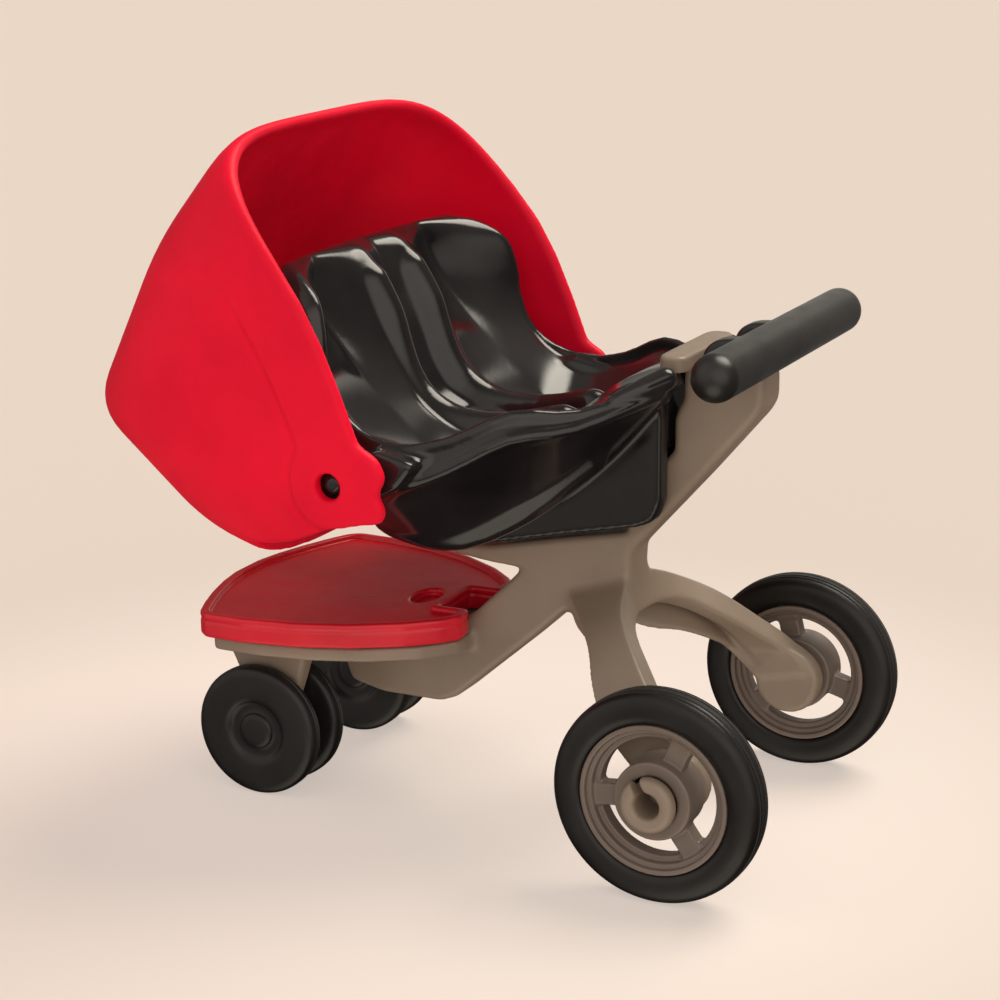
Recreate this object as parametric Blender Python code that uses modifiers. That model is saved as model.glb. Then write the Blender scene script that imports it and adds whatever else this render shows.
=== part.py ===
"""Twin toy stroller at play-figure scale: moulded chassis, double seat, hood, tray, handle and wheels.

Frame: +X towards the pusher's handle and the big wheels, Y across, +Z up, floor at z = 0. The origin is
the centre of the footprint. Side-view points are written in millimetres as (x, z), with x measured from
the rear axle line, and place() turns them into metres in the object's own frame.
"""

import math

import bmesh
import bpy
from mathutils import Matrix, Vector

MM = 0.001
REAR_AXLE_X = 27.36
GAP = 0.3

# wheels
REAR_WHEEL_R = 11.0
REAR_WHEEL_Y = 20.7
REAR_RIM_R = 7.8
REAR_RIM_HALF = 1.95
REAR_HUB_R = 4.3
REAR_HUB_HALF = 2.1
REAR_BORE_R = 2.6
STUB_R = 2.3
STUB_LIP_R = 2.8
STUB_END_Y = 24.4
STUB_BORE_R = 1.15
SPOKES = 3
SPOKE_WIDTH = 2.2
SPOKE_START_LEFT = 66.0
SPOKE_START_RIGHT = 104.0
FRONT_AXLE_X = -50.55
FRONT_WHEEL_R = 7.32
FRONT_DISC = 2.2
FRONT_OUTER_Y = 14.5
FRONT_INNER_Y = 7.1
FRONT_PIN_R = 0.8

# chassis
SPINE_HALF = 2.75
CROSSBAR_HALF = 7.4
PLATFORM_TOP = 18.2
PLATFORM_THICK = 1.3
LEG_BOSS_Y = 16.9
LEG_BOSS_R = 3.65
SKIRT_THICK = 1.1
SKIRT_GROOVE = 0.9

# handle
HANDLE_X = 4.13
HANDLE_Z = 52.8
HANDLE_R = 2.4
HANDLE_HALF = 20.3
LUG_X = 0.1
LUG_Z = 51.4
LUG_R = 2.3
LUG_IN_Y = 3.2
LUG_OUT_Y = 5.7
LOBE_R = 1.5
HANDLE_PIN_R = 0.7

# tray
TRAY_TOP = 21.2
TRAY_THICK = 2.7
TRAY_RIM = 1.1
TRAY_SINK = 0.5

# hood
HOOD_HALF = 28.2
HOOD_WALL = 1.3
HOOD_ROUND = 4.2
HOOD_CENTRE = (-38.0, 49.0)
HOOD_PIVOT = (-32.65, 40.4)
HOOD_HOLE_R = 1.3
PEG_R = 0.95

# seat
KEEL_HALF = 5.4
KEEL_END_X = -6.6

RED = (0.72, 0.012, 0.02, 1.0)
BLACK = (0.012, 0.011, 0.011, 1.0)
GREY = (0.23, 0.185, 0.14, 1.0)

COLLECTION = "toy_twin_stroller"


def clear_scene():
    for obj in list(bpy.data.objects):
        bpy.data.objects.remove(obj, do_unlink=True)


def collection(name):
    found = bpy.data.collections.get(name)
    if found is None:
        found = bpy.data.collections.new(name)
        bpy.context.scene.collection.children.link(found)
    return found


def place(x, y, z):
    """A point in metres from millimetres, with x measured from the rear axle line."""
    return Vector(((x + REAR_AXLE_X) * MM, y * MM, z * MM))


def plastic(name, colour, roughness):
    material = bpy.data.materials.get(name)
    if material is None:
        material = bpy.data.materials.new(name)
        material.use_nodes = True
        shader = material.node_tree.nodes["Principled BSDF"]
        shader.inputs["Base Color"].default_value = colour
        shader.inputs["Roughness"].default_value = roughness
        shader.inputs["Metallic"].default_value = 0.0
        material.diffuse_color = colour
    return material


def mesh_object(name, mesh):
    obj = bpy.data.objects.new(name, mesh)
    collection(COLLECTION).objects.link(obj)
    return obj


def finish(obj, material, origin=None):
    """Give the part its material, smooth shading and an origin on its own axis."""
    mesh = obj.data
    if origin is not None:
        mesh.transform(Matrix.Translation(-origin))
        obj.location = origin
    mesh.materials.clear()
    mesh.materials.append(material)
    mesh.shade_smooth()
    mesh.set_sharp_from_angle(angle=math.radians(35))
    return obj


def evaluated_mesh(obj):
    """The object's mesh after its modifiers, welded, in world space; the object is removed."""
    graph = bpy.context.evaluated_depsgraph_get()
    graph.update()
    mesh = bpy.data.meshes.new_from_object(obj.evaluated_get(graph))
    mesh.transform(obj.matrix_world)
    bpy.data.objects.remove(obj, do_unlink=True)
    shell = bmesh.new()
    shell.from_mesh(mesh)
    bmesh.ops.remove_doubles(shell, verts=shell.verts, dist=1e-7)
    bmesh.ops.recalc_face_normals(shell, faces=shell.faces)
    shell.to_mesh(mesh)
    shell.free()
    return mesh


def arc(centre, radius, start, end, steps):
    """Points on a circular arc, with the angles in degrees."""
    points = []
    for i in range(steps + 1):
        angle = math.radians(start + (end - start) * i / steps)
        points.append((centre[0] + radius * math.cos(angle), centre[1] + radius * math.sin(angle)))
    return points


def rounded(points, radius, steps=3):
    """A closed outline with each corner replaced by a small arc-like blend."""
    result = []
    count = len(points)
    for i, corner in enumerate(points):
        corner = Vector(corner)
        before = Vector(points[i - 1]) - corner
        after = Vector(points[(i + 1) % count]) - corner
        reach = min(radius, before.length * 0.45, after.length * 0.45)
        start = corner + before.normalized() * reach
        end = corner + after.normalized() * reach
        for step in range(steps + 1):
            t = step / steps
            result.append(tuple(start.lerp(corner, t).lerp(corner.lerp(end, t), t)))
    return result


def outline_solid(name, outline, low, high, plane):
    """A flat outline in millimetres, filled and extruded from low to high across its plane.

    plane "side" reads the outline as (x, z) and extrudes along Y, "plan" reads (x, y) and extrudes up.
    """
    curve = bpy.data.curves.new(name, "CURVE")
    curve.dimensions = "2D"
    curve.fill_mode = "BOTH"
    curve.extrude = (high - low) / 2
    spline = curve.splines.new("POLY")
    spline.points.add(len(outline) - 1)
    for point, (a, b) in zip(spline.points, outline):
        point.co = (a, b, 0.0, 1.0)
    spline.use_cyclic_u = True
    obj = mesh_object(name, curve)
    bpy.context.view_layer.update()
    mesh = evaluated_mesh(obj)
    lift = Matrix.Translation((0.0, 0.0, (low + high) / 2))
    if plane == "side":
        turn = Matrix(((1, 0, 0, 0), (0, 0, 1, 0), (0, 1, 0, 0), (0, 0, 0, 1)))
        mesh.transform(turn @ lift)
        mesh.flip_normals()
    else:
        mesh.transform(lift)
    mesh.transform(Matrix.Scale(MM, 4) @ Matrix.Translation((REAR_AXLE_X, 0.0, 0.0)))
    return mesh_object(name, mesh)


def turned(name, profile, x, z, segments, side=1):
    """A closed ring or disc turned about the Y axis at (x, z); profile points are (radius, y)."""
    mesh = bpy.data.meshes.new(name)
    points = [(radius * MM, 0.0, y * MM) for radius, y in profile]
    closed = all(radius > 0 for radius, _ in profile)
    edges = [(i, i + 1) for i in range(len(points) - 1)]
    if closed:
        edges.append((len(points) - 1, 0))
    mesh.from_pydata(points, edges, [])
    obj = mesh_object(name, mesh)
    screw = obj.modifiers.new("turn", "SCREW")
    screw.axis = "Z"
    screw.steps = segments
    screw.render_steps = segments
    screw.use_merge_vertices = True
    screw.merge_threshold = 1e-6
    bpy.context.view_layer.update()
    mesh = evaluated_mesh(obj)
    mesh.transform(Matrix.Rotation(math.radians(-90), 4, "X"))
    if side < 0:
        mesh.transform(Matrix.Scale(-1, 4, (0, 1, 0)))
        mesh.flip_normals()
    mesh.transform(Matrix.Translation(place(x, 0.0, z)))
    return mesh_object(name, mesh)


def rod(name, start, end, radius, vertices=24):
    """A straight cylinder between two points given as (x, y, z) in millimetres."""
    a = place(*start)
    b = place(*end)
    mesh = bpy.data.meshes.new(name)
    shell = bmesh.new()
    bmesh.ops.create_cone(
        shell, cap_ends=True, segments=vertices, radius1=radius * MM, radius2=radius * MM, depth=(b - a).length
    )
    shell.to_mesh(mesh)
    shell.free()
    turn = Vector((0, 0, 1)).rotation_difference((b - a).normalized()).to_matrix().to_4x4()
    mesh.transform(Matrix.Translation((a + b) / 2) @ turn)
    return mesh_object(name, mesh)


def loft(name, rings):
    """A solid of triangles through closed rings of equally many points, capped at both ends."""
    shell = bmesh.new()
    rows = [[shell.verts.new(point) for point in ring] for ring in rings]
    count = len(rows[0])
    for low, high in zip(rows, rows[1:]):
        for i in range(count):
            j = (i + 1) % count
            shell.faces.new((low[i], low[j], high[j], high[i]))
    shell.faces.new(list(reversed(rows[0])))
    shell.faces.new(rows[-1])
    bmesh.ops.recalc_face_normals(shell, faces=shell.faces)
    bmesh.ops.triangulate(shell, faces=shell.faces)
    mesh = bpy.data.meshes.new(name)
    shell.to_mesh(mesh)
    shell.free()
    return mesh_object(name, mesh)


def combine(target, tool, operation):
    """Apply an exact Boolean of the tool onto the target and remove the tool."""
    cutter_home = collection(COLLECTION + "_cutters")
    for home in list(tool.users_collection):
        home.objects.unlink(tool)
    cutter_home.objects.link(tool)
    tool.hide_render = True
    tool.display_type = "WIRE"
    boolean = target.modifiers.new("combine", "BOOLEAN")
    boolean.operation = operation
    boolean.solver = "EXACT"
    boolean.object = tool
    name = target.name
    mesh = evaluated_mesh(target)
    bpy.data.objects.remove(tool, do_unlink=True)
    return mesh_object(name, mesh)


def join(target, *tools):
    for tool in tools:
        target = combine(target, tool, "UNION")
    return target


def cut(target, *tools):
    for tool in tools:
        target = combine(target, tool, "DIFFERENCE")
    return target


def side_mirror(points):
    return [(x, -y) for x, y in reversed(points)]


def spline(rows, steps):
    """Rows of points with smooth rows added between them, passing through the given ones."""
    rows = [[Vector(point) for point in row] for row in rows]
    result = []
    for i in range(len(rows) - 1):
        before = rows[max(i - 1, 0)]
        after = rows[min(i + 2, len(rows) - 1)]
        for step in range(steps):
            t = step / steps
            row = []
            for a, b, c, d in zip(before, rows[i], rows[i + 1], after):
                row.append(0.5 * (2 * b + (c - a) * t + (2 * a - 5 * b + 4 * c - d) * t ** 2
                                  + (3 * b - a - 3 * c + d) * t ** 3))
            result.append(row)
    return result + [rows[-1]]


LEG_CORNERS = (
    # the leg's section at each station: front outer, back outer, back inner and front inner corner
    ((-12.2, 0.6, 27.0), (-19.0, 0.6, 24.4), (-19.0, 0.6, 21.6), (-11.0, 0.6, 22.4)),
    ((-11.2, 3.4, 26.3), (-17.4, 3.8, 24.2), (-17.0, 3.2, 21.3), (-9.8, 3.2, 22.6)),
    ((-9.7, 8.0, 24.4), (-14.4, 8.4, 23.4), (-13.4, 6.8, 20.6), (-8.1, 7.0, 21.9)),
    ((-6.6, 12.0, 21.8), (-11.8, 12.2, 21.7), (-10.6, 9.9, 19.4), (-4.8, 10.4, 19.2)),
    ((-3.0, 15.2, 18.4), (-10.0, 15.3, 18.9), (-8.4, 13.1, 17.0), (-1.8, 13.2, 16.5)),
    ((0.2, 17.2, 15.6), (-7.6, 17.3, 15.4), (-7.0, 15.2, 14.4), (0.4, 15.1, 14.6)),
    ((2.2, 17.9, 12.6), (-3.4, 17.9, 11.4), (-3.4, 15.5, 11.2), (2.2, 15.5, 12.4)),
)
# how far the skirt drops below the web and how deep its groove is, at each of those stations
LEG_SKIRT = ((2.0, 0.6), (2.2, 0.8), (2.5, 1.0), (2.4, 1.0), (1.8, 0.8), (0.5, 0.3), (0.1, 0.1))


def leg_section(corners, drop, depth):
    """The leg's section: a web, and behind a groove of some depth a skirt that drops below the web."""
    front_out, back_out, back_in, front_in = corners
    down = (back_in - back_out).normalized()
    across = (front_in - back_in).normalized()
    ring = [front_out.lerp(front_in, 0.12), front_out.lerp(back_out, 0.12)]
    ring += [back_out.lerp(front_out, 0.12), back_out.lerp(back_in, 0.12)]
    skirt = back_in + across * SKIRT_THICK
    web = skirt + across * SKIRT_GROOVE
    ring += [back_in + down * drop, skirt + down * drop, skirt - down * depth, web - down * depth, web]
    ring += [front_in.lerp(back_in, 0.12), front_in.lerp(front_out, 0.12)]
    return ring


def yoke_leg(side):
    """One rear leg, an arch from the spine out and down to the axle boss."""
    skirt = [[(drop, depth, 0.0)] for drop, depth in LEG_SKIRT]
    rings = []
    for corners, (sizes,) in zip(spline(LEG_CORNERS, 2), spline(skirt, 2)):
        ring = leg_section(corners, sizes.x, sizes.y)
        rings.append([place(x, side * y, z) for x, y, z in ring])
    return loft("leg", rings)


def axle_stub(side):
    """The stub that carries a big wheel, with its snap lip and blind bore."""
    profile = [
        (0.0, LEG_BOSS_Y - 1.2),
        (STUB_R, LEG_BOSS_Y - 1.2),
        (STUB_R, STUB_END_Y - 1.3),
        (STUB_LIP_R, STUB_END_Y - 0.9),
        (STUB_R, STUB_END_Y),
        (STUB_BORE_R, STUB_END_Y),
        (STUB_BORE_R, STUB_END_Y - 4.0),
        (0.0, STUB_END_Y - 4.0),
    ]
    return turned("stub", list(reversed(profile)), 0.0, REAR_WHEEL_R, 24, side)


def spine_outline():
    """Side view of the chassis web: upright, under-seat arm, lower arm and front web."""
    return (
        [(-5.3, 50.4), (-5.3, 46.6), (-6.3, 44.6), (-6.3, 41.0), (-11.4, 35.8), (-11.4, 31.7), (-18.0, 30.4)]
        + [(-27.5, 28.3), (-33.0, 28.0), (-33.4, 27.0), (-27.0, 26.3), (-23.6, 26.2)]
        + [(-26.2, 23.6), (-29.3, 20.6), (-33.0, PLATFORM_TOP - 0.2), (-46.0, PLATFORM_TOP - 0.2)]
        + [(-47.0, 16.0), (-45.0, 10.4), (-41.0, 9.5), (-33.8, 9.5), (-31.8, 10.3)]
        + [(-23.0, 18.0), (-17.6, 23.0), (-11.4, 22.2), (-11.2, 26.0), (-11.0, 29.6), (-3.4, 38.2)]
        + [(2.6, 45.3), (3.3, 46.6), (3.3, 50.0)]
    )


def platform_outline():
    half = [(-57.8, 4.0), (-57.0, 9.0), (-56.0, 13.0), (-54.6, 15.6), (-49.0, 15.6), (-43.0, 14.6)]
    half += [(-37.5, 12.6), (-32.5, 9.4), (-29.6, 6.0)]
    return half + side_mirror(half)


def tray_outline():
    half = [(-60.0, 2.5), (-59.4, 6.0), (-58.3, 10.0), (-57.1, 13.4), (-55.9, 16.2), (-54.6, 17.3)]
    half += [(-50.0, 17.2), (-44.0, 16.2), (-38.5, 14.2), (-33.5, 11.2), (-30.4, 8.4), (-29.1, 6.4)]
    half += [(-29.4, 3.7), (-33.1, 3.7)]
    return half + side_mirror(half)


def front_fork(side):
    """A leg between the twin front discs, with the hole for their pin."""
    z = FRONT_WHEEL_R
    outline = arc((FRONT_AXLE_X, z), 2.2, -170, -10, 8)
    outline += [(-46.2, 13.0), (-44.8, PLATFORM_TOP - 0.6), (-56.0, PLATFORM_TOP - 0.6), (-54.0, 13.5)]
    low, high = sorted((side * 9.65, side * 11.95))
    leg = outline_solid("fork", outline, low, high, "side")
    y = side * 10.8
    return cut(leg, rod("bore", (FRONT_AXLE_X, y - 3, z), (FRONT_AXLE_X, y + 3, z), FRONT_PIN_R + GAP, 16))


def chassis():
    """Spine, crossbar, tray platform, front forks and rear yoke, moulded in one piece."""
    body = outline_solid("chassis", spine_outline(), -SPINE_HALF, SPINE_HALF, "side")
    bar = [(-6.4, CROSSBAR_HALF), (-6.4, -CROSSBAR_HALF), (-3.4, -CROSSBAR_HALF), (-3.4, CROSSBAR_HALF)]
    body = join(body, outline_solid("crossbar", rounded(bar, 1.2), 50.2, 51.9, "plan"))
    base = PLATFORM_TOP - PLATFORM_THICK
    body = join(body, outline_solid("platform", platform_outline(), base, PLATFORM_TOP, "plan"))
    lobe = arc((LUG_X, LUG_Z), LOBE_R, -20, 200, 12)
    lobe += [(LUG_X - LOBE_R, 48.0), (LUG_X + LOBE_R, 48.0)]
    body = join(body, outline_solid("lobe", lobe, -SPINE_HALF, SPINE_HALF, "side"))
    z = REAR_WHEEL_R
    for side in (-1, 1):
        inside = side * (LEG_BOSS_Y - 1.3)
        outside = side * (LEG_BOSS_Y + 1.2)
        body = join(body, front_fork(side), yoke_leg(side))
        body = join(body, rod("boss", (0, inside, z), (0, outside, z), LEG_BOSS_R), axle_stub(side))
    bore = rod("pin_bore", (LUG_X, -4.0, LUG_Z), (LUG_X, 4.0, LUG_Z), HANDLE_PIN_R + GAP, 16)
    body = cut(body, bore)
    return finish(body, plastic("grey_plastic", GREY, 0.42), place(0, 0, 0))


def handle():
    """The push bar with two lugs that straddle the spine."""
    bar = [(0.0, -HANDLE_HALF)]
    for angle in (15, 30, 50, 70, 90):
        a = math.radians(angle)
        bar.append((HANDLE_R * math.sin(a), -HANDLE_HALF + HANDLE_R * (1 - math.cos(a))))
    bar += [(radius, -y) for radius, y in reversed(bar)]
    body = turned("handle_bar", list(reversed(bar)), HANDLE_X, HANDLE_Z, 20)
    for side in (-1, 1):
        low, high = sorted((side * LUG_IN_Y, side * LUG_OUT_Y))
        lug = arc((LUG_X, LUG_Z), LUG_R, 90, 290, 10)
        lug += [(HANDLE_X, HANDLE_Z - 1.6), (HANDLE_X, HANDLE_Z + 1.6)]
        mouth = side * (LUG_IN_Y - 0.5)
        floor = side * (LUG_OUT_Y - 0.9)
        bore = rod("bore", (LUG_X, mouth, LUG_Z), (LUG_X, floor, LUG_Z), HANDLE_PIN_R + GAP, 16)
        lug = cut(outline_solid("lug", lug, low, high, "side"), bore)
        body = join(body, lug)
    return finish(body, plastic("black_plastic", BLACK, 0.3), place(LUG_X, 0, LUG_Z))


def handle_pin():
    reach = LUG_OUT_Y - 0.9 - GAP
    pin = rod("handle_pin", (LUG_X, -reach, LUG_Z), (LUG_X, reach, LUG_Z), HANDLE_PIN_R, 16)
    return finish(pin, plastic("grey_plastic", GREY, 0.42), place(LUG_X, 0, LUG_Z))


def hood_radius(angle):
    """Distance from the hood's centre to its centre-plane profile, at an angle in degrees."""
    corners = HOOD_CORNERS
    direction = Vector((math.cos(math.radians(angle)), math.sin(math.radians(angle))))
    best = None
    for i in range(len(corners)):
        a = Vector(corners[i - 1]) - Vector(HOOD_CENTRE)
        b = Vector(corners[i]) - Vector(HOOD_CENTRE)
        edge = b - a
        denominator = direction.x * edge.y - direction.y * edge.x
        if abs(denominator) < 1e-9:
            continue
        t = (a.x * edge.y - a.y * edge.x) / denominator
        u = (a.x * direction.y - a.y * direction.x) / denominator
        if t > 0 and -1e-9 <= u <= 1 + 1e-9:
            best = t if best is None else min(best, t)
    return best


HOOD_CORNERS = rounded(
    [(-30.0, 76.8), (-48.0, 75.0), (-57.6, 63.2), (-66.9, 44.0), (-52.0, 31.2), (-42.5, 28.2), (-20.0, 14.0),
     (12.0, 20.0), (12.0, 76.0)], 4.0, 4)


def hood_body(name, wall):
    """The closed form that the hood is part of, shrunk by a wall thickness."""
    angles = [360.0 * i / 56 for i in range(56)]
    radii = [hood_radius(angle) - wall for angle in angles]
    half = HOOD_HALF - wall
    rings = []
    for step in range(-9, 10):
        lean = math.sin(math.radians(step * 10.0)) * 0.999
        shrink = (1.0 - abs(lean) ** HOOD_ROUND) ** (1.0 / HOOD_ROUND)
        ring = []
        for angle, radius in zip(angles, radii):
            x = HOOD_CENTRE[0] + radius * shrink * math.cos(math.radians(angle))
            z = HOOD_CENTRE[1] + radius * shrink * math.sin(math.radians(angle))
            ring.append(place(x, half * lean, z))
        rings.append(ring)
    return loft(name, rings)


def hood_outline():
    """Side outline of the hood: ear, opening edge, then well clear of the shell, and the lower edge."""
    ear = [(-33.0, 35.7), (-29.6, 36.6), (-26.9, 37.1), (-26.3, 38.3), (-27.2, 40.1), (-26.3, 41.8)]
    ear += [(-27.2, 43.7), (-29.4, 45.0)]
    opening = [(-31.2, 49.7), (-33.3, 54.5), (-35.6, 58.7), (-38.6, 62.7), (-42.4, 67.3), (-47.9, 74.0)]
    around = [(-52.0, 79.0), (-75.0, 79.0), (-75.0, 20.0), (-44.5, 20.0)]
    lower = [(-44.0, 32.2), (-41.5, 32.6), (-38.0, 33.6)]
    return ear + opening + around + lower


def hood():
    shell = hood_body("canopy_hood", 0.0)
    prism = outline_solid("hood_outline", hood_outline(), -40.0, 40.0, "side")
    shell = combine(shell, prism, "INTERSECT")
    shell = cut(shell, hood_body("hood_inside", HOOD_WALL))
    x, z = HOOD_PIVOT
    shell = cut(shell, rod("ear_bore", (x, -32, z), (x, 32, z), HOOD_HOLE_R, 20))
    return finish(shell, plastic("red_plastic", RED, 0.45), place(x, 0, z))


def tray():
    body = outline_solid("luggage_tray", tray_outline(), TRAY_TOP - TRAY_THICK, TRAY_TOP, "plan")
    centre = Vector((-45.0, 0.0))
    inner = []
    for point in tray_outline():
        toward = centre - Vector(point)
        inner.append(tuple(Vector(point) + toward.normalized() * TRAY_RIM * 1.35))
    sink = outline_solid("sink", inner, TRAY_TOP - TRAY_SINK, TRAY_TOP + 1.0, "plan")
    body = cut(body, sink)
    return finish(body, plastic("red_plastic", RED, 0.45), place(-45.0, 0, TRAY_TOP))


SEAT_HALF = 22.9
SEAT_ACROSS = (0.0, 2.9, 4.6, 6.3, 13.5)
SEAT_INNER = (
    # valley, valley side, divider crest, its shoulder and the bucket's crease as (x, z), then the rim as (x, y, z)
    ((-43.9, 60.3), (-43.5, 60.4), (-43.0, 60.4), (-43.2, 60.4), (-43.9, 60.5), (-42.4, 19.6, 60.3)),
    ((-42.8, 59.5), (-41.7, 59.7), (-40.6, 59.6), (-41.3, 59.7), (-43.0, 59.8), (-39.4, 20.7, 59.7)),
    ((-41.8, 57.0), (-40.1, 57.3), (-38.5, 57.4), (-39.8, 57.3), (-42.8, 57.2), (-36.6, 21.5, 57.8)),
    ((-40.0, 53.4), (-38.5, 53.8), (-37.1, 54.1), (-38.3, 54.0), (-41.5, 54.2), (-35.6, 22.1, 54.2)),
    ((-38.5, 49.7), (-37.4, 50.3), (-36.1, 50.9), (-36.9, 50.5), (-38.6, 50.5), (-35.4, 22.4, 50.8)),
    ((-36.9, 45.8), (-36.0, 46.7), (-34.8, 47.6), (-35.2, 46.9), (-35.3, 47.2), (-34.4, 22.6, 47.6)),
    ((-34.2, 42.6), (-33.6, 43.6), (-32.4, 44.8), (-32.6, 43.8), (-31.3, 43.7), (-31.7, 23.0, 44.9)),
    ((-28.8, 40.8), (-28.8, 41.8), (-28.4, 43.2), (-28.2, 42.0), (-27.4, 40.1), (-27.2, 23.2, 43.7)),
    ((-23.0, 41.4), (-23.0, 42.2), (-23.0, 43.2), (-22.7, 42.0), (-22.0, 39.2), (-21.9, 22.1, 45.1)),
    ((-17.0, 43.4), (-17.0, 43.8), (-17.0, 44.5), (-16.9, 43.6), (-16.6, 41.2), (-16.3, 19.8, 47.7)),
    ((-11.6, 48.2), (-11.6, 48.2), (-11.6, 48.2), (-11.6, 48.0), (-11.4, 47.4), (-10.8, 16.2, 47.6)),
    ((-6.0, 50.3), (-6.0, 50.3), (-6.0, 50.3), (-5.8, 50.3), (-5.4, 50.3), (-4.8, 9.8, 49.8)),
)
SEAT_OUTER = (
    # flange's lower edge, wall's top and lower ridge as (x, y, z), then the belly at y = 6 and at y = 0
    ((-43.2, 20.0, 59.9), (-43.8, 19.4, 59.9), (-44.4, 13.5, 60.2), (-44.6, 60.2), (-44.8, 60.0)),
    ((-41.2, 21.4, 58.6), (-42.4, 20.8, 58.6), (-44.8, 13.5, 58.8), (-44.8, 58.8), (-44.8, 58.6)),
    ((-38.3, 22.6, 56.8), (-40.2, 22.0, 56.4), (-45.2, 13.5, 56.4), (-44.8, 56.4), (-44.6, 56.2)),
    ((-36.9, 23.3, 52.8), (-38.7, 22.7, 52.4), (-44.4, 13.5, 52.6), (-43.2, 52.6), (-42.8, 52.2)),
    ((-36.5, 23.6, 48.8), (-38.0, 22.9, 48.0), (-41.8, 13.8, 48.2), (-40.8, 48.2), (-40.6, 47.6)),
    ((-35.5, 23.8, 45.0), (-36.9, 23.0, 43.6), (-38.6, 14.4, 42.0), (-38.6, 43.2), (-38.6, 42.8)),
    ((-31.4, 24.3, 41.2), (-33.1, 23.2, 39.6), (-35.0, 15.0, 33.9), (-35.2, 38.6), (-35.2, 38.4)),
    ((-26.8, 24.4, 40.4), (-28.0, 23.2, 39.0), (-31.0, 15.3, 31.9), (-30.4, 34.0), (-30.4, 34.0)),
    ((-21.8, 23.0, 42.3), (-22.4, 22.0, 40.9), (-25.0, 15.2, 31.9), (-24.4, 33.4), (-24.4, 33.4)),
    ((-16.2, 20.8, 45.4), (-16.8, 19.9, 44.1), (-18.0, 14.2, 35.5), (-18.0, 35.4), (-18.0, 35.4)),
    ((-10.8, 17.0, 46.4), (-11.4, 16.1, 45.4), (-11.9, 12.2, 40.6), (-12.2, 40.2), (-12.2, 40.2)),
    ((-4.8, 10.4, 48.9), (-5.0, 10.0, 48.2), (-5.4, 8.6, 47.2), (-6.2, 46.8), (-6.8, 46.8)),
)


def seat_rings():
    """The seat's cross sections from the back's top to the nose."""
    rings = []
    for inner, outer in zip(SEAT_INNER, SEAT_OUTER):
        spread = inner[5][1] / SEAT_HALF
        half = [(x, y * spread, z) for (x, z), y in zip(inner[:5], SEAT_ACROSS)] + [inner[5]]
        half += outer[:3]
        half.append((outer[3][0], 6.0, outer[3][1]))
        half.append((outer[4][0], 0.0, outer[4][1]))
        rings.append(half + [(x, -y, z) for x, y, z in reversed(half[1:-1])])
    return rings


def seat_body():
    """The seat before its slots are cut."""
    return loft("seat_shell", [[place(*point) for point in ring] for ring in spline(seat_rings(), 3)])


def seat():
    body = seat_body()
    keel = [(KEEL_END_X, 48.3), (-9.0, 46.6), (-14.0, 43.0), (-20.0, 40.2), (-27.0, 38.2), (-31.0, 36.0)]
    keel += [(-30.4, 31.6), (-27.0, 29.2), (-18.0, 31.3), (-9.2, 33.2), (-7.4, 34.0), (KEEL_END_X, 36.0)]
    body = join(body, outline_solid("keel", keel, -KEEL_HALF, KEEL_HALF, "side"))
    x, z = HOOD_PIVOT
    for side in (-1, 1):
        arm = [(-34.4, 41.6), (-34.0, 38.6), (-31.0, 38.2), (-26.0, 40.6), (-24.0, 43.2), (-28.5, 44.4)]
        low, high = sorted((side * 19.5, side * 25.6))
        body = join(body, outline_solid("arm", arm, low, high, "side"))
        body = join(body, rod("peg", (x, side * 23.0, z), (x, side * 27.0, z), PEG_R, 16))
    slot = [(-6.9, 64.0), (-6.9, 41.3), (-11.8, 36.2), (-11.8, 24.0), (0.0, 24.0), (0.0, 64.0)]
    body = cut(body, outline_solid("slot", slot, -SPINE_HALF - GAP, SPINE_HALF + GAP, "side"))
    bar = outline_solid("bar_space", [(-6.8, 49.8), (-6.8, 58.0), (-1.0, 58.0), (-1.0, 49.8)],
                        -CROSSBAR_HALF - GAP, CROSSBAR_HALF + GAP, "side")
    body = cut(body, bar)
    return finish(body, plastic("black_plastic", BLACK, 0.3), place(-20, 0, 40))


def rear_rim(side):
    name = "rear_rim_" + ("left" if side < 0 else "right")
    y = REAR_WHEEL_Y
    ring = [(6.7, y - REAR_RIM_HALF), (REAR_RIM_R, y - REAR_RIM_HALF)]
    ring += [(REAR_RIM_R, y + REAR_RIM_HALF), (6.9, y + REAR_RIM_HALF)]
    body = turned(name, list(reversed(ring)), 0.0, REAR_WHEEL_R, 40, side)
    hub = [(REAR_BORE_R, y - REAR_HUB_HALF), (REAR_HUB_R, y - REAR_HUB_HALF)]
    hub += [(REAR_HUB_R, y + REAR_HUB_HALF - 0.5), (REAR_HUB_R - 0.5, y + REAR_HUB_HALF)]
    hub += [(REAR_BORE_R, y + REAR_HUB_HALF)]
    body = join(body, turned("hub", list(reversed(hub)), 0.0, REAR_WHEEL_R, 28, side))
    start = SPOKE_START_LEFT if side < 0 else SPOKE_START_RIGHT
    for i in range(SPOKES):
        turn = math.radians(start + 360 * i / SPOKES)
        inner = Vector((math.cos(turn), math.sin(turn)))
        across = Vector((-inner.y, inner.x)) * (SPOKE_WIDTH / 2)
        corners = [inner * 3.6 - across, inner * 7.2 - across, inner * 7.2 + across, inner * 3.6 + across]
        outline = [(c.x, c.y + REAR_WHEEL_R) for c in corners]
        low, high = sorted((side * (y - 0.9), side * (y + 0.9)))
        body = join(body, outline_solid("spoke", outline, low, high, "side"))
    return finish(body, plastic("grey_plastic", GREY, 0.42), place(0, side * y, REAR_WHEEL_R))


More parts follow.
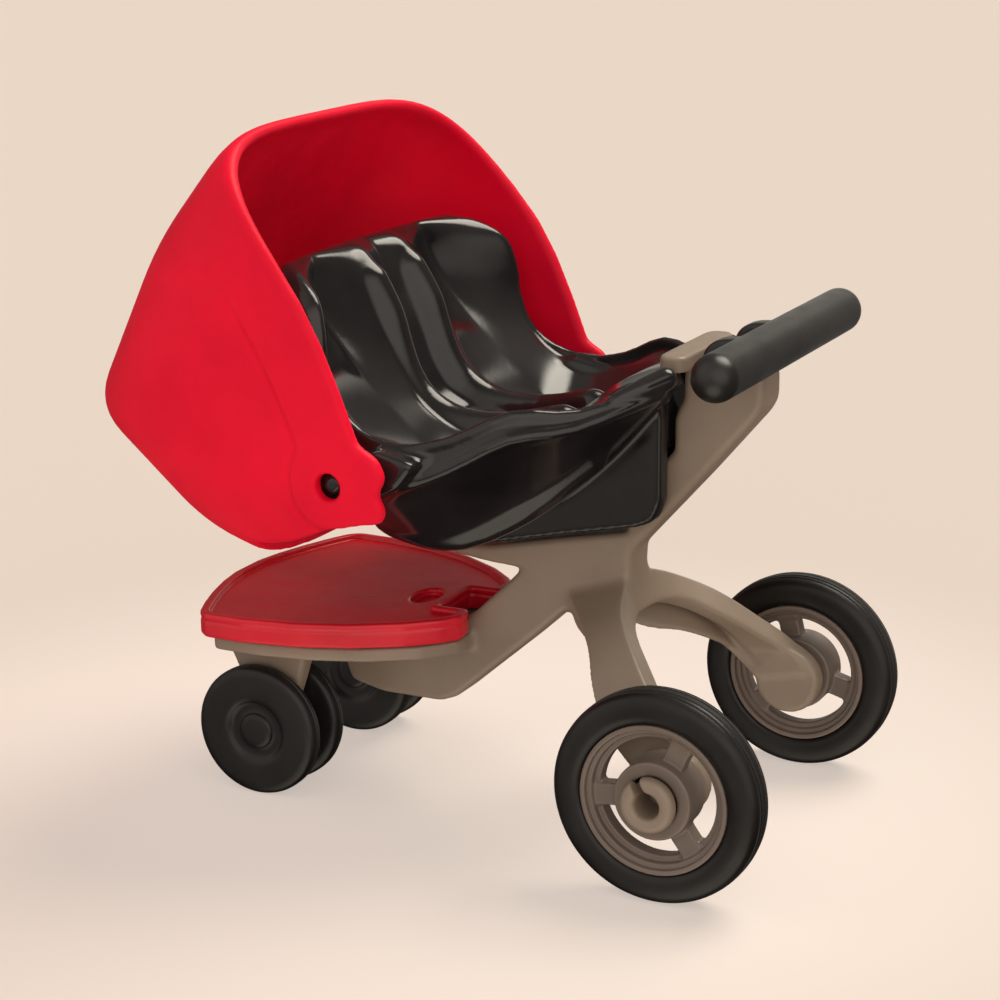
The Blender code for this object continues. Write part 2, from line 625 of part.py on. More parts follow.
def rear_tyre(side):
    name = "rear_tyre_" + ("left" if side < 0 else "right")
    y = REAR_WHEEL_Y
    inside = REAR_RIM_R + 0.25
    profile = [(inside, y - 1.9), (8.6, y - 2.1), (10.4, y - 1.9), (10.9, y - 1.3), (REAR_WHEEL_R, y - 0.4),
               (REAR_WHEEL_R, y + 0.4), (10.9, y + 1.3), (10.4, y + 1.9), (8.6, y + 2.1), (inside, y + 1.9)]
    body = turned(name, list(reversed(profile)), 0.0, REAR_WHEEL_R, 48, side)
    return finish(body, plastic("black_tyre", BLACK, 0.6), place(0, side * y, REAR_WHEEL_R))


def front_disc(side, outer):
    """One of a pair of front discs, with a blind bore facing its twin."""
    name = "front_disc_" + ("outer_" if outer else "inner_") + ("left" if side < 0 else "right")
    r = FRONT_WHEEL_R
    bore = FRONT_PIN_R + GAP
    outward = 1 if outer else -1
    face = FRONT_OUTER_Y if outer else FRONT_INNER_Y
    back = face - outward * FRONT_DISC
    profile = [(0.0, face), (1.7, face), (2.0, face - outward * 0.3), (3.3, face - outward * 0.35),
               (4.0, face - outward * 0.05), (r - 0.8, face), (r, face - outward * 0.6),
               (r, back + outward * 0.5), (r - 0.6, back), (bore, back), (bore, back + outward * 1.3),
               (0.0, back + outward * 1.3)]
    if outer:
        profile.reverse()
    body = turned(name, profile, FRONT_AXLE_X, r, 36, side)
    return finish(body, plastic("black_wheel", BLACK, 0.42), place(FRONT_AXLE_X, side * face, r))


def front_pin(side):
    name = "front_axle_" + ("left" if side < 0 else "right")
    reach = FRONT_DISC - 1.3 + GAP
    start = side * (FRONT_INNER_Y + reach)
    end = side * (FRONT_OUTER_Y - reach)
    pin = rod(name, (FRONT_AXLE_X, start, FRONT_WHEEL_R), (FRONT_AXLE_X, end, FRONT_WHEEL_R), FRONT_PIN_R, 16)
    return finish(pin, plastic("grey_plastic", GREY, 0.42), place(FRONT_AXLE_X, side * 10.8, FRONT_WHEEL_R))


def main():
    clear_scene()
    chassis()
    seat()
    hood()
    tray()
    handle()
    handle_pin()
    for side in (-1, 1):
        rear_rim(side)
        rear_tyre(side)
        front_disc(side, True)
        front_disc(side, False)
        front_pin(side)


main()
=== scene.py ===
import math

import bmesh
import bpy
import numpy as np
from mathutils import Matrix, Vector
from mathutils.bvhtree import BVHTree


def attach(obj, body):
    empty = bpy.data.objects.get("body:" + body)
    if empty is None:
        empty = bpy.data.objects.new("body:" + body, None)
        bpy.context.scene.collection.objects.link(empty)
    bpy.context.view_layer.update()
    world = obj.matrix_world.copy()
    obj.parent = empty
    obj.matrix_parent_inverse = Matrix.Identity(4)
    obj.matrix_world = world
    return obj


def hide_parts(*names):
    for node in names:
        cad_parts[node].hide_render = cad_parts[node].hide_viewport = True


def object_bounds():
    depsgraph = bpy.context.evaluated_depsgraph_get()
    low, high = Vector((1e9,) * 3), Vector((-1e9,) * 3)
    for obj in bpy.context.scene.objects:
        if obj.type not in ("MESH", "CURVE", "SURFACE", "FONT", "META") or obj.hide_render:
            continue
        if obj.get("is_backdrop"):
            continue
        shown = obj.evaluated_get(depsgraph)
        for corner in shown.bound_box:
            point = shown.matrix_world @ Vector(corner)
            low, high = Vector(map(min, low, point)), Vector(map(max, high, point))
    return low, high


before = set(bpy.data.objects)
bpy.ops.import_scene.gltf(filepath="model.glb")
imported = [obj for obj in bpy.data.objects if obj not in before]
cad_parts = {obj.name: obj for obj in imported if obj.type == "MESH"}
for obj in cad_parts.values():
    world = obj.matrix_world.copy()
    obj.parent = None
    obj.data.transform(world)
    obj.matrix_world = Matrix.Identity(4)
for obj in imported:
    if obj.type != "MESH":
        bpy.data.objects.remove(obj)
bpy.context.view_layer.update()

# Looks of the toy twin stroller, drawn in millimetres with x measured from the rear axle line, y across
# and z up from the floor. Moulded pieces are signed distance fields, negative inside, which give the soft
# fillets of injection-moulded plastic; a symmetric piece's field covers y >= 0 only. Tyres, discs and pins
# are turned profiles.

MM = 0.001
AXLE_X = 27.36        # the rear axle line in the frame
COARSE = 1.0
FAR = 2.5             # distances to lofted bodies are cut off here

SIDES = {-1: "left", 1: "right"}
REAR_R = 11.0         # large wheels: radius, and how far out their middle is
REAR_Y = 20.7
FRONT_X = -50.55      # small wheels: their axle line and radius
FRONT_R = 7.32
HINGE = (0.1, 51.4)   # (x, z) of the push bar's pin


# ---------------------------------------------------------------- fields

class Grid:
    """Sample points over a box in millimetres. The box starts at y = 0 for a symmetric piece."""

    def __init__(self, low, high, step):
        self.step = step * COARSE
        self.low = np.array(low, float)
        counts = [int(math.ceil((b - a) / self.step)) + 1 for a, b in zip(low, high)]
        axes = [(a + self.step * np.arange(n)).astype(np.float32) for a, n in zip(low, counts)]
        self.shape = tuple(counts)
        self.x = axes[0][:, None, None]
        self.y = axes[1][None, :, None]
        self.z = axes[2][None, None, :]


def melt(a, b, k):
    """Union of two fields with a fillet about k wide."""
    h = np.clip(0.5 + 0.5 * (b - a) / k, 0.0, 1.0)
    return b + (a - b) * h - k * h * (1.0 - h)


def meet(a, b, k):
    """Intersection of two fields with its edge rounded by about k."""
    return -melt(-a, -b, k)


def carve(a, b, k):
    """Field a with b taken away, the edge rounded by about k."""
    return -melt(-a, b, k)


def outline(u, v, points):
    """Signed distance to a closed outline, negative inside."""
    best = np.full(np.broadcast_shapes(np.shape(u), np.shape(v)), 1e9, np.float32)
    inside = np.zeros(best.shape, bool)
    for (au, av), (bu, bv) in zip(points, points[1:] + points[:1]):
        eu, ev = bu - au, bv - av
        wu, wv = u - au, v - av
        t = np.clip((wu * eu + wv * ev) / (eu * eu + ev * ev), 0.0, 1.0)
        best = np.minimum(best, (wu - eu * t) ** 2 + (wv - ev * t) ** 2)
        if av != bv:
            inside ^= ((av > v) != (bv > v)) & (u < (bu - au) * (v - av) / (bv - av) + au)
    best = np.sqrt(best)
    return np.where(inside, -best, best)


def soften(field, radius, step):
    """The field blurred over about radius, which rounds both its outer and inner corners."""
    passes = max(1, int(round((radius / step) ** 2)))
    for axis in range(field.ndim):
        if field.shape[axis] == 1:
            continue
        last = field.shape[axis] - 1
        for _ in range(passes):
            ahead = np.concatenate((field.take(range(1, last + 1), axis), field.take([last], axis)), axis)
            behind = np.concatenate((field.take([0], axis), field.take(range(last), axis)), axis)
            field = 0.5 * field + 0.25 * (ahead + behind)
    return field


def slab(flat, across, radius):
    """A flat outline given thickness: across is the distance past its faces; edges are rounded."""
    u = flat + radius
    v = across + radius
    return np.minimum(np.maximum(u, v), 0.0) + np.hypot(np.maximum(u, 0.0), np.maximum(v, 0.0)) - radius


def side_slab(grid, points, low, high, radius, corner=0.0):
    """An (x, z) outline extruded along y from low to high."""
    flat = outline(grid.x, grid.z, points)
    if corner:
        flat = soften(flat, corner, grid.step)
    return slab(flat, np.abs(grid.y - (low + high) / 2) - (high - low) / 2, radius)


def plan_slab(grid, points, low, high, radius, corner=0.0):
    """An (x, y) outline extruded up from low to high."""
    flat = outline(grid.x, grid.y, points)
    if corner:
        flat = soften(flat, corner, grid.step)
    return slab(flat, np.abs(grid.z - (low + high) / 2) - (high - low) / 2, radius)


def barrel(grid, x, z, radius, low, high, edge):
    """A cylinder along y from low to high with rounded ends."""
    reach = np.hypot(grid.x - x, grid.z - z)
    return slab(reach - radius, np.abs(grid.y - (low + high) / 2) - (high - low) / 2, edge)


def rounded(points, radius, steps):
    """A closed outline with each corner replaced by a small arc-like blend."""
    result = []
    for i, corner in enumerate(points):
        corner = Vector(corner)
        before = Vector(points[i - 1]) - corner
        after = Vector(points[(i + 1) % len(points)]) - corner
        reach = min(radius, before.length * 0.45, after.length * 0.45)
        start = corner + before.normalized() * reach
        end = corner + after.normalized() * reach
        for step in range(steps + 1):
            t = step / steps
            result.append(tuple(start.lerp(corner, t).lerp(corner.lerp(end, t), t)))
    return result


def spline(rows, steps):
    """Rows of points with smooth rows added between them, passing through the given ones."""
    rows = np.array(rows, float)
    padded = np.concatenate((rows[:1] * 2 - rows[1:2], rows, rows[-1:] * 2 - rows[-2:-1]))
    result = []
    for i in range(len(rows) - 1):
        a, b, c, d = padded[i:i + 4]
        for step in range(steps):
            t = step / steps
            result.append(0.5 * (2 * b + (c - a) * t + (2 * a - 5 * b + 4 * c - d) * t ** 2
                                 + (3 * b - a - 3 * c + d) * t ** 3))
    result.append(rows[-1])
    return np.array(result)


def loft_tree(rings, steps):
    """A search tree over a closed skin lofted smoothly through the rings, and the skin's corners."""
    rows = spline(rings, steps)
    count = rows.shape[1]
    verts = [Vector(point) for row in rows for point in row]
    faces = []
    for i in range(len(rows) - 1):
        for j in range(count):
            k = (j + 1) % count
            faces.append((i * count + j, i * count + k, (i + 1) * count + k, (i + 1) * count + j))
    faces.append(tuple(reversed(range(count))))
    faces.append(tuple(range(len(verts) - count, len(verts))))
    return BVHTree.FromPolygons(verts, faces), rows.reshape(-1, 3)


def crossings(tree, x, y, z):
    """Heights above z at which an upright line, a hair beside (x, y), passes through the tree's faces."""
    heights = []
    while True:
        hit = tree.ray_cast(Vector((x + 0.00137, y + 0.00171, z)), Vector((0.0, 0.0, 1.0)))[0]
        if hit is None:
            return heights
        heights.append(hit.z)
        z = hit.z + 0.0005


def body_field(grid, rings, steps=4):
    """Distance to a closed body lofted through rings of equally many points, near its surface only."""
    tree, corners = loft_tree(rings, steps)
    low = corners.min(0) - FAR
    high = corners.max(0) + FAR
    near = []
    for axis, values in enumerate((grid.x, grid.y, grid.z)):
        near.append([(i, float(v)) for i, v in enumerate(values.ravel()) if low[axis] <= v <= high[axis]])
    field = np.full(grid.shape, FAR, np.float32)
    for i, x in near[0]:
        for j, y in near[1]:
            heights = crossings(tree, x, y, low[2] - 1.0)
            for k, z in near[2]:
                distance = tree.find_nearest(Vector((x, y, z)), FAR)[3]
                if distance is None:
                    distance = FAR
                inside = sum(z > height for height in heights) % 2
                field[i, j, k] = -distance if inside else distance
    return field


# ---------------------------------------------------------------- meshes

def sample(field, points):
    """The field at points given in grid steps, by linear interpolation."""
    base = np.floor(points).astype(int)
    base = np.clip(base, 0, np.array(field.shape) - 2)
    part = points - base
    total = 0.0
    for dx in (0, 1):
        for dy in (0, 1):
            for dz in (0, 1):
                weight = np.abs(1 - dx - part[:, 0]) * np.abs(1 - dy - part[:, 1])
                weight = weight * np.abs(1 - dz - part[:, 2])
                total = total + weight * field[base[:, 0] + dx, base[:, 1] + dy, base[:, 2] + dz]
    return total


def slope(field, points, reach):
    """The field's gradient at points, in units per grid step."""
    result = np.zeros_like(points)
    for axis in range(3):
        offset = np.zeros(3)
        offset[axis] = reach
        result[:, axis] = (sample(field, points + offset) - sample(field, points - offset)) / (2 * reach)
    return result


def net(field):
    """Vertices and quads over the field's zero level, one vertex in each cell that the surface crosses."""
    cells = tuple(n - 1 for n in field.shape)
    inside = field < 0
    ids, places, quads = [], [], []
    for axis in range(3):
        near = [slice(None)] * 3
        away = [slice(None)] * 3
        near[axis] = slice(None, -1)
        away[axis] = slice(1, None)
        start = np.argwhere(inside[tuple(near)] != inside[tuple(away)])
        end = start.copy()
        end[:, axis] += 1
        a = field[tuple(start.T)]
        b = field[tuple(end.T)]
        place = start.astype(float)
        place[:, axis] += a / (a - b)
        corners = []
        for du, dv in ((-1, -1), (0, -1), (0, 0), (-1, 0)):
            cell = start.copy()
            cell[:, (axis + 1) % 3] += du
            cell[:, (axis + 2) % 3] += dv
            corners.append(np.ravel_multi_index(cell.T, cells))
            ids.append(corners[-1])
            places.append(place)
        quad = np.stack(corners, 1)
        quad[a >= 0] = quad[a >= 0][:, ::-1]
        quads.append(quad)
    ids = np.concatenate(ids)
    places = np.concatenate(places)
    unique, inverse = np.unique(ids, return_inverse=True)
    count = np.bincount(inverse)
    points = np.stack([np.bincount(inverse, places[:, axis]) / count for axis in range(3)], 1)
    return points, np.searchsorted(unique, np.concatenate(quads))


def relaxed(points, quads):
    """The points moved halfway to the mean of their neighbours, so that no quad folds over."""
    count = len(points)
    total = np.zeros_like(points)
    shared = np.zeros(count)
    for i in range(4):
        a = quads[:, i]
        b = quads[:, (i + 1) % 4]
        for here, there in ((a, b), (b, a)):
            shared += np.bincount(here, minlength=count)
            for axis in range(3):
                total[:, axis] += np.bincount(here, points[there, axis], count)
    return (points + total / shared[:, None]) / 2


def mirrored(grid, field):
    """The field over both sides of y = 0, and the new lowest corner."""
    low = grid.low.copy()
    low[1] = -(field.shape[1] - 1) * grid.step
    return np.concatenate((field[:, :0:-1, :], field), axis=1), low


def settled(field, points):
    """The points moved along the field's slope onto its zero level."""
    for _ in range(3):
        value = sample(field, points)
        gradient = slope(field, points, 0.5)
        length = np.maximum((gradient ** 2).sum(1), 1e-6)
        shift = gradient * (value / length)[:, None]
        points = points - np.clip(shift, -0.4, 0.4)
    return points


def link(name, data):
    """A new object in the scene that holds the data."""
    obj = bpy.data.objects.new(name, data)
    bpy.context.scene.collection.objects.link(obj)
    return obj


def quad_mesh(name, points, quads, normals):
    """A smooth mesh of quads that is shaded by the given normals."""
    mesh = bpy.data.meshes.new(name)
    mesh.vertices.add(len(points))
    mesh.vertices.foreach_set("co", points.astype(np.float32).ravel())
    mesh.loops.add(quads.size)
    mesh.loops.foreach_set("vertex_index", quads.astype(np.int32).ravel())
    mesh.polygons.add(len(quads))
    mesh.polygons.foreach_set("loop_start", np.arange(0, quads.size, 4, dtype=np.int32))
    mesh.update(calc_edges=True)
    mesh.validate()
    mesh.shade_smooth()
    mesh.normals_split_custom_set_from_vertices(normals.astype(np.float32))
    return mesh


def mesh_from_field(name, grid, field, symmetric=True, side=1):
    """The field's surface as an object in the frame, with normals read from the field."""
    low = grid.low
    if symmetric:
        field, low = mirrored(grid, field)
    points, quads = net(field)
    points = settled(field, relaxed(points, quads))
    normals = slope(field, points, 0.75)
    normals /= np.maximum(np.linalg.norm(normals, axis=1), 1e-9)[:, None]
    points = points * grid.step + low
    if side < 0:
        points[:, 1] *= -1
        normals[:, 1] *= -1
        quads = quads[:, ::-1]
    points = (points + [AXLE_X, 0, 0]) * MM
    return link(name, quad_mesh(name, points, quads, normals))


def turned(name, profile, x, y, z, segments, side=1):
    """A body turned about the y axis, from a profile of (radius, distance outward from y)."""
    shell = bmesh.new()
    verts = [shell.verts.new((radius * MM, 0.0, out * MM)) for radius, out in profile]
    # a profile that stays clear of the axis is joined end to end
    ring = all(radius > 0 for radius, _ in profile)
    for a, b in zip(verts, verts[1:] + (verts[:1] if ring else [])):
        shell.edges.new((a, b))
    bmesh.ops.spin(shell, geom=shell.verts[:] + shell.edges[:], axis=(0, 0, 1), cent=(0, 0, 0),
                   steps=segments, angle=math.tau, use_merge=True)
    bmesh.ops.remove_doubles(shell, verts=shell.verts, dist=1e-7)
    bmesh.ops.recalc_face_normals(shell, faces=shell.faces)
    mesh = bpy.data.meshes.new(name)
    shell.to_mesh(mesh)
    shell.free()
    mesh.transform(Matrix.Rotation(math.radians(-90), 4, "X"))
    if side < 0:
        mesh.transform(Matrix.Scale(-1, 4, (0, 1, 0)))
        mesh.flip_normals()
    mesh.transform(Matrix.Translation(((x + AXLE_X) * MM, side * y * MM, z * MM)))
    mesh.shade_smooth()
    mesh.set_sharp_from_angle(angle=math.radians(40))
    return link(name, mesh)


def fit(obj, body, slot, material, *nodes):
    """Give a finished piece its material and its body, and hide the CAD nodes it stands for; the slot is not
    used.
    """
    obj.data.materials.append(material)
    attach(obj, body)
    if nodes:
        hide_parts(*nodes)


# ---------------------------------------------------------------- hood

HOOD_HALF = 27.86
HOOD_WALL = 1.35
HOOD_ROUND = 4.2      # how boxy its cross section is
HOOD_CENTRE = (-38.0, 49.0)
HOOD_PIVOT = (-32.65, 40.4)
HOLE_R = 1.35
BAND_RISE = 0.25      # a raised band follows the opening, with a groove behind it
GROOVE_SINK = 0.22
BAND_TOP = 62.5       # the band and groove fade out towards this height
HOOD_CORNERS = rounded(
    [(-30.0, 76.8), (-48.0, 75.0), (-57.6, 63.2), (-66.9, 44.0), (-52.0, 31.2), (-42.5, 28.2), (-20.0, 14.0),
     (12.0, 20.0), (12.0, 76.0)], 4.5, 6)
# seen from the side, the hood lies inside the outline that its next four lines make
HOOD_EAR = [(-33.0, 35.7), (-29.6, 36.6), (-26.9, 37.1), (-26.3, 38.3), (-27.2, 40.1), (-26.3, 41.8),
            (-27.2, 43.7), (-29.4, 45.0)]
HOOD_OPENING = [(-31.2, 49.7), (-33.3, 54.5), (-35.6, 58.7), (-38.6, 62.7), (-42.4, 67.3), (-47.9, 74.0)]
HOOD_AROUND = [(-52.0, 79.0), (-75.0, 79.0), (-75.0, 20.0), (-44.5, 20.0)]
HOOD_LOWER = [(-44.0, 32.2), (-41.5, 32.6), (-38.0, 33.6)]
HOOD_BAND = [(-46.5, 63.5), (-45.2, 61.1), (-42.6, 57.2), (-39.8, 52.6), (-37.5, 47.9), (-35.9, 44.2),
             (-36.6, 42.4), (-36.95, 40.7), (-36.4, 38.2), (-35.2, 36.9), (-33.9, 36.1), (-20.0, 36.0),
             (-20.0, 63.5)]


def gauge(x, z, wall):
    """Distance from the hood's centre as a share of the profile's distance in that direction."""
    dx = x - HOOD_CENTRE[0]
    dz = z - HOOD_CENTRE[1]
    corners = [np.array(c) - HOOD_CENTRE for c in HOOD_CORNERS]
    angles = np.radians(np.arange(0.0, 360.5, 0.5))
    ray = np.stack((np.cos(angles), np.sin(angles)), 1)
    reach = np.full(len(angles), 1e9)
    for a, b in zip(corners, corners[1:] + corners[:1]):
        edge = b - a
        below = ray[:, 0] * edge[1] - ray[:, 1] * edge[0]
        below = np.where(np.abs(below) < 1e-9, 1e-9, below)
        t = (a[0] * edge[1] - a[1] * edge[0]) / below
        u = (a[0] * ray[:, 1] - a[1] * ray[:, 0]) / below
        reach = np.where((t > 0) & (u >= -1e-6) & (u <= 1 + 1e-6), np.minimum(reach, t), reach)
    turn = np.mod(np.arctan2(dz, dx), math.tau)
    return np.hypot(dx, dz) / (np.interp(turn, angles, reach) - wall)


def hood_form(grid, wall):
    """The closed form that the hood is part of, shrunk by a wall thickness, as a near-true distance."""
    flat = gauge(grid.x, grid.z, wall).astype(np.float32)
    n = HOOD_ROUND
    level = (np.abs(grid.y / (HOOD_HALF - wall)) ** n + flat ** n) ** (1 / n) - 1.0
    slopes = np.gradient(level, grid.step)
    length = np.sqrt(sum(s * s for s in slopes))
    return (level / np.maximum(length, 0.004)).astype(np.float32)


def hood():
    """The hood's shell, with its band and groove and an ear with a hole on each side."""
    grid = Grid((-69.0, 0.0, 25.5), (-24.5, 30.0, 77.0), 0.36)
    outer = hood_form(grid, 0.0)
    band = soften(outline(grid.x, grid.z, HOOD_BAND), 0.25, grid.step)
    fade = np.clip((BAND_TOP - grid.z) / 7.0, 0.0, 1.0)
    outer = outer - BAND_RISE * fade * np.clip(0.5 - band / 0.4, 0.0, 1.0)
    outer = outer + GROOVE_SINK * fade * np.clip(1.0 - np.abs(band - 0.5) / 0.5, 0.0, 1.0)
    shell = meet(outer, -hood_form(grid, HOOD_WALL), 0.7)
    edge = outline(grid.x, grid.z, HOOD_EAR + HOOD_OPENING + HOOD_AROUND + HOOD_LOWER)
    shell = meet(shell, soften(edge, 0.45, grid.step), 1.1)
    hole = np.hypot(grid.x - HOOD_PIVOT[0], grid.z - HOOD_PIVOT[1]) - HOLE_R
    return mesh_from_field("hood", grid, carve(shell, hole, 0.55))


# ---------------------------------------------------------------- seat

SEAT_HALF = 22.9
SEAT_ACROSS = (0.0, 2.9, 4.6, 6.3, 13.5)    # y of the inner lines where the rim is SEAT_HALF out
SEAT_INNER = (
    # valley, its side, divider crest, its shoulder and bucket crease as (x, z), then the rim as (x, y, z)
    ((-43.8, 60.3), (-43.6, 60.4), (-43.4, 60.4), (-43.5, 60.4), (-43.8, 60.4), (-42.8, 17.4, 60.3)),
    ((-42.4, 59.6), (-41.8, 59.7), (-41.2, 59.7), (-41.8, 59.7), (-43.0, 59.8), (-39.8, 19.9, 59.6)),
    ((-41.2, 57.0), (-40.2, 57.3), (-39.0, 57.4), (-40.0, 57.3), (-42.8, 57.2), (-36.7, 21.3, 57.6)),
    ((-40.0, 53.4), (-38.5, 53.8), (-37.1, 54.1), (-38.3, 54.0), (-41.5, 54.2), (-35.6, 22.1, 54.2)),
    ((-38.5, 49.7), (-37.4, 50.3), (-36.1, 50.9), (-36.9, 50.5), (-38.6, 50.5), (-35.4, 22.4, 50.8)),
    ((-36.9, 45.8), (-36.0, 46.7), (-34.8, 47.6), (-35.2, 46.9), (-35.3, 47.2), (-34.4, 22.6, 47.6)),
    ((-34.2, 42.6), (-33.6, 43.6), (-32.4, 44.8), (-32.6, 43.8), (-31.3, 43.7), (-31.7, 23.0, 44.9)),
    ((-28.8, 40.8), (-28.8, 41.8), (-28.4, 43.2), (-28.2, 42.0), (-27.4, 40.1), (-27.2, 23.2, 43.7)),
    ((-23.0, 41.4), (-23.0, 42.2), (-23.0, 43.2), (-22.7, 42.0), (-22.0, 39.2), (-21.9, 22.0, 44.8)),
    ((-17.0, 43.4), (-17.0, 43.8), (-17.0, 44.5), (-16.9, 43.6), (-16.6, 41.2), (-16.3, 19.6, 47.4)),
    ((-11.6, 48.2), (-11.6, 48.2), (-11.6, 48.2), (-11.6, 48.0), (-11.4, 47.4), (-10.8, 16.0, 47.3)),
    ((-6.0, 50.3), (-6.0, 50.3), (-6.0, 50.3), (-5.8, 50.3), (-5.4, 50.3), (-4.8, 9.6, 49.4)),
)
SEAT_OUTER = (
    # flange's lower edge, wall's top and lower ridge as (x, y, z), then the belly at y = 6 and at y = 0
    ((-43.6, 17.8, 59.9), (-44.0, 17.2, 59.9), (-44.4, 13.0, 60.2), (-44.6, 60.2), (-44.8, 60.0)),
    ((-41.6, 20.6, 58.6), (-42.6, 20.0, 58.6), (-44.8, 13.5, 58.8), (-44.8, 58.8), (-44.8, 58.6)),
    ((-38.3, 22.6, 56.8), (-40.2, 22.0, 56.4), (-45.2, 13.5, 56.4), (-44.8, 56.4), (-44.6, 56.2)),
    ((-36.9, 23.3, 52.8), (-38.7, 22.7, 52.4), (-44.4, 13.5, 52.6), (-43.2, 52.6), (-42.8, 52.2)),
    ((-36.5, 23.6, 48.8), (-38.0, 22.9, 48.0), (-41.8, 13.8, 48.2), (-40.8, 48.2), (-40.6, 47.6)),
    ((-35.5, 23.8, 45.0), (-36.9, 23.0, 43.6), (-38.6, 14.4, 42.0), (-38.6, 43.2), (-38.6, 42.8)),
    ((-31.4, 24.3, 41.2), (-33.1, 23.2, 39.6), (-35.0, 15.0, 33.9), (-35.2, 38.6), (-35.2, 38.4)),
    ((-26.8, 24.4, 40.4), (-28.0, 23.2, 39.0), (-31.0, 15.3, 31.9), (-30.4, 34.0), (-30.4, 34.0)),
    ((-21.8, 23.0, 42.3), (-22.4, 22.0, 40.9), (-25.0, 15.2, 31.9), (-24.4, 33.4), (-24.4, 33.4)),
    ((-16.2, 20.8, 45.3), (-16.8, 19.9, 44.1), (-18.0, 14.2, 35.5), (-18.0, 35.4), (-18.0, 35.4)),
    ((-10.8, 17.0, 46.1), (-11.4, 16.1, 45.3), (-11.9, 12.2, 40.6), (-12.2, 40.2), (-12.2, 40.2)),
    ((-4.8, 10.2, 48.7), (-5.0, 9.8, 48.1), (-5.4, 8.6, 47.2), (-6.2, 46.8), (-6.8, 46.8)),
)
EDGE_R = 0.62         # beads along the rim and the flange
EDGE_IN = 0.3         # how far inside the rim and the flange the beads are set
CREST_R = 1.75        # rolls under the divider's crests and along the wall's lower ridge
RIDGE_R = 1.3
KEEL = [(-6.6, 48.3), (-9.0, 46.6), (-14.0, 43.0), (-20.0, 40.2), (-27.0, 38.2), (-31.0, 36.0), (-30.4, 31.6),
        (-27.0, 29.2), (-18.0, 31.3), (-9.2, 33.2), (-7.4, 34.0), (-6.6, 36.0)]
KEEL_HALF = 5.4
SEAT_ARM = [(-34.4, 41.6), (-34.0, 38.4), (-31.0, 37.6), (-26.0, 40.4), (-24.0, 43.0), (-28.5, 44.0)]
ARM_OUT = 25.8        # the arm and its boss end here, and the hood's peg goes on to PEG_OUT
PEG_R = 0.95
PEG_OUT = 27.0
SLOT = [(-7.0, 64.0), (-7.0, 41.3), (-11.8, 36.2), (-11.8, 24.0), (0.0, 24.0), (0.0, 64.0)]
SLOT_HALF = 3.05      # the spine stands in the slot, and the crossbar lies in the notch above it
NOTCH_HALF = 7.7


def smooth_line(points):
    """Points (x, y, z) of a smooth line through the given ones."""
    return [row[0] for row in spline([[point] for point in points], 3)]


def bead(points):
    """A thin tube's path just inside a seat edge; it grows to full size over its first few points."""
    path = []
    for i, (x, y, z) in enumerate(smooth_line(points)):
        path.append((x - EDGE_IN * 0.5, y - EDGE_IN, z - EDGE_IN * 0.3, EDGE_R * min(1.0, (i + 1) / 8)))
    return path


def roll(points, radius):
    """A tube's path of one radius along a smooth line through the points."""
    return [(x, y, z, radius) for x, y, z in smooth_line(points)]


def seat_rings():
    """The seat's cross sections from the back's top to the nose, straight between their named lines."""
    rings = []
    for inner, outer in zip(SEAT_INNER, SEAT_OUTER):
        spread = inner[5][1] / SEAT_HALF
        half = [(x, y * spread, z) for (x, z), y in zip(inner[:5], SEAT_ACROSS)] + [inner[5]]
        half += outer[:3]
        half.append((outer[3][0], 6.0, outer[3][1]))
        half.append((outer[4][0], 0.0, outer[4][1]))
        rings.append(half + [(x, -y, z) for x, y, z in reversed(half[1:-1])])
    return rings


def tube(grid, path):
    """A round bar of changing radius through points (x, y, z, radius)."""
    best = np.full(grid.shape, FAR * 4, np.float32)
    for (ax, ay, az, ar), (bx, by, bz, br) in zip(path, path[1:]):
        ex, ey, ez = bx - ax, by - ay, bz - az
        wx, wy, wz = grid.x - ax, grid.y - ay, grid.z - az
        t = np.clip((wx * ex + wy * ey + wz * ez) / (ex * ex + ey * ey + ez * ez), 0.0, 1.0)
        gap = np.sqrt((wx - ex * t) ** 2 + (wy - ey * t) ** 2 + (wz - ez * t) ** 2) - (ar + (br - ar) * t)
        best = np.minimum(best, gap)
    return best


def seat_tubes():
    """Tubes that raise the seat's edges and ridges, each with the width of its fillet."""
    rim = bead([row[5] for row in SEAT_INNER[4:]])
    flange = bead([row[0] for row in SEAT_OUTER[4:]])
    lobe = [(-8.4, 13.0, 48.4, EDGE_R), (-6.0, 10.6, 49.4, 1.1), (-4.7, 8.9, 50.0, 1.2)]
    ridge = [(x + 0.4, y - 1.1, z + 0.9) for _, _, (x, y, z), *_ in SEAT_OUTER[4:11]]
    crest = []
    for _, _, (x, z), _, _, (_, out, _) in SEAT_INNER[2:10]:
        crest.append((x - 1.2, SEAT_ACROSS[2] * out / SEAT_HALF, z - 1.2))
    return (rim, 0.4), (flange, 0.4), (lobe, 0.4), (roll(ridge, RIDGE_R), 1.4), (roll(crest, CREST_R), 1.0)


def seat_holes(grid):
    """What is carved out of the seat, each field with the rounding of its edge."""
    oval = np.hypot((grid.x + 31.0) / 1.5, grid.y / 2.1) - 1.0
    dimple = np.hypot((grid.x + 9.6) / 1.3, (grid.y - 8.8) / 1.1) - 1.0
    spine = np.maximum(np.abs(grid.y) - SLOT_HALF, outline(grid.x, grid.z, SLOT))
    crossbar = np.maximum(np.maximum(np.abs(grid.y) - NOTCH_HALF, -6.9 - grid.x), 49.9 - grid.z)
    return ((np.maximum(oval * 1.4, np.abs(grid.z - 43.0) - 4.0), 0.5),
            (np.maximum(dimple, np.abs(grid.z - 50.0) - 2.6), 0.6),
            (spine, 0.4),
            (crossbar, 0.4))


